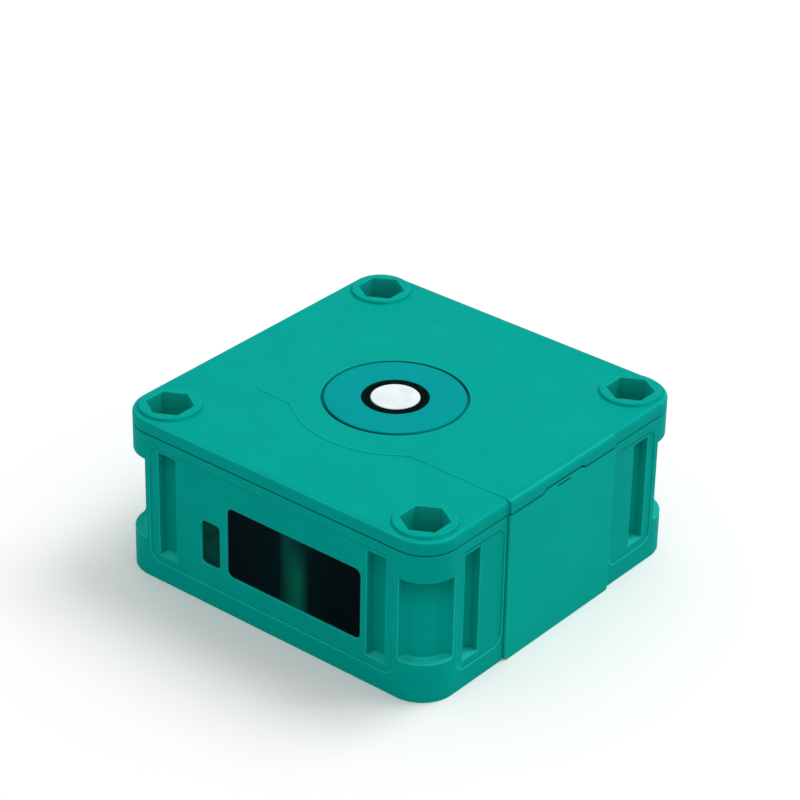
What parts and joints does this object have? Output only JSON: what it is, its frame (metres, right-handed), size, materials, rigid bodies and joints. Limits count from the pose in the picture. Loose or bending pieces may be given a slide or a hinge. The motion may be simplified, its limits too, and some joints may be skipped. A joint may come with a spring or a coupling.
{
  "type": "ultrasonic distance sensor",
  "caption": "Square block ultrasonic distance sensor with its round transducer on top, a display window in front and corner bolt holes.",
  "frame": {"origin": "middle of the four mounting holes, on the mounting face", "axes": "+Z is the sensing direction, -Y is the front with the windows, +Y the back with the connector, +X the side with the fitted panel"},
  "size_m": [0.0806, 0.0907, 0.0366],
  "materials": {
    "housing_plastic": "teal moulded plastic, fine texture",
    "black_foam": "closed-cell foam, matt",
    "white_disc": "glass-filled resin, matt",
    "smoked_lens": "dark tinted acrylic",
    "green_lens": "dark green acrylic",
    "seal_rubber": "moulded rubber",
    "zinc_steel": "zinc plated",
    "board": "green solder mask",
    "ferrite": "sintered ferrite",
    "black_plastic": "moulded black resin",
    "can": "drawn aluminium",
    "led": "yellow-white phosphor in clear resin",
    "ceramic": "fired ceramic with silvered faces",
    "copper_wire": "insulated copper wire",
    "plated_brass": "nickel plated brass",
    "gold_contact": "gold plated"
  },
  "bodies": {
    "root": {"base_housing": "housing_plastic", "top_cover": "housing_plastic", "side_panel": "housing_plastic", "face_ring": "housing_plastic", "foam_ring": "black_foam", "matching_layer": "white_disc", "piezo_disc": "ceramic", "backing_foam": "black_foam", "transducer_cap": "black_plastic", "transducer_leads": "copper_wire", "display_window": "smoked_lens", "indicator_lens": "green_lens", "cover_seal": "seal_rubber", "mounting_sleeves": "zinc_steel", "cover_screws": "zinc_steel", "main_board": "board", "board_screws": "zinc_steel", "display_board": "board", "signal_leds": "led", "board_header": "black_plastic", "drive_transformer": "ferrite", "storage_capacitors": "can", "power_coil": "ferrite", "processor_chip": "black_plastic", "temperature_probe": "black_plastic", "connector_shell": "plated_brass", "connector_seal": "seal_rubber", "connector_nut": "plated_brass", "contact_carrier": "black_plastic", "contact_pins": "gold_contact", "connector_leads": "copper_wire"}
  },
  "joints": []
}
